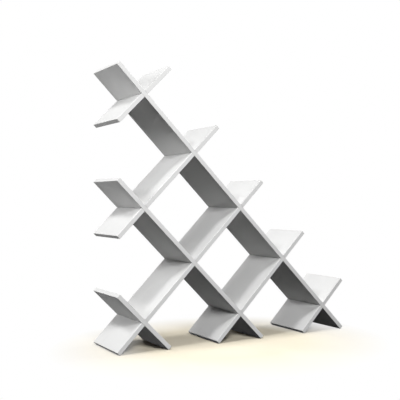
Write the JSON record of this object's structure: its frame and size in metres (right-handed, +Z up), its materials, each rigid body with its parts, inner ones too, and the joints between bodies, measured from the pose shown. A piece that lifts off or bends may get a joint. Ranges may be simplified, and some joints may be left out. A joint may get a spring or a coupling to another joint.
{
  "type": "pyramid bookshelf",
  "caption": "Free-standing pyramid bookshelf: a triangular lattice of leaning white boards, slotted into each other at right angles to form diamond cells for books.",
  "frame": {"origin": "on the floor, under the middle of the shelf's width and depth", "axes": "+X to the right as seen from the front, towards the low end of the slope; +Y to the back; +Z up"},
  "size_m": [1.1498, 0.25, 1.1495],
  "materials": {
    "white_board": "particle board faced in white, semi-gloss",
    "white_edging": "white plastic edging, semi-gloss"
  },
  "bodies": {
    "root": {"falling_board_1": "white_board", "falling_board_1_back_edging_1": "white_edging", "falling_board_1_back_edging_2": "white_edging", "falling_board_1_front_edging": "white_edging", "falling_board_1_lower_end_edging": "white_edging", "falling_board_1_upper_end_edging": "white_edging", "falling_board_2": "white_board", "falling_board_2_back_edging_1": "white_edging", "falling_board_2_back_edging_2": "white_edging", "falling_board_2_back_edging_3": "white_edging", "falling_board_2_back_edging_4": "white_edging", "falling_board_2_front_edging": "white_edging", "falling_board_2_lower_end_edging": "white_edging", "falling_board_2_upper_end_edging": "white_edging", "falling_board_3": "white_board", "falling_board_3_back_edging_1": "white_edging", "falling_board_3_back_edging_2": "white_edging", "falling_board_3_back_edging_3": "white_edging", "falling_board_3_back_edging_4": "white_edging", "falling_board_3_back_edging_5": "white_edging", "falling_board_3_back_edging_6": "white_edging", "falling_board_3_front_edging": "white_edging", "falling_board_3_lower_end_edging": "white_edging", "falling_board_3_upper_end_edging": "white_edging", "rising_board_1": "white_board", "rising_board_1_back_edging": "white_edging", "rising_board_1_front_edging_1": "white_edging", "rising_board_1_front_edging_2": "white_edging", "rising_board_1_lower_end_edging": "white_edging", "rising_board_1_upper_end_edging": "white_edging", "rising_board_2": "white_board", "rising_board_2_back_edging": "white_edging", "rising_board_2_front_edging_1": "white_edging", "rising_board_2_front_edging_2": "white_edging", "rising_board_2_front_edging_3": "white_edging", "rising_board_2_lower_end_edging": "white_edging", "rising_board_2_upper_end_edging": "white_edging", "rising_board_3": "white_board", "rising_board_3_back_edging": "white_edging", "rising_board_3_front_edging_1": "white_edging", "rising_board_3_front_edging_2": "white_edging", "rising_board_3_front_edging_3": "white_edging", "rising_board_3_front_edging_4": "white_edging", "rising_board_3_lower_end_edging": "white_edging", "rising_board_3_upper_end_edging": "white_edging", "rising_board_4": "white_board", "rising_board_4_back_edging": "white_edging", "rising_board_4_front_edging_1": "white_edging", "rising_board_4_front_edging_2": "white_edging", "rising_board_4_front_edging_3": "white_edging", "rising_board_4_lower_end_edging": "white_edging", "rising_board_4_upper_end_edging": "white_edging", "rising_board_5": "white_board", "rising_board_5_back_edging": "white_edging", "rising_board_5_front_edging_1": "white_edging", "rising_board_5_front_edging_2": "white_edging", "rising_board_5_lower_end_edging": "white_edging", "rising_board_5_upper_end_edging": "white_edging"}
  },
  "joints": []
}
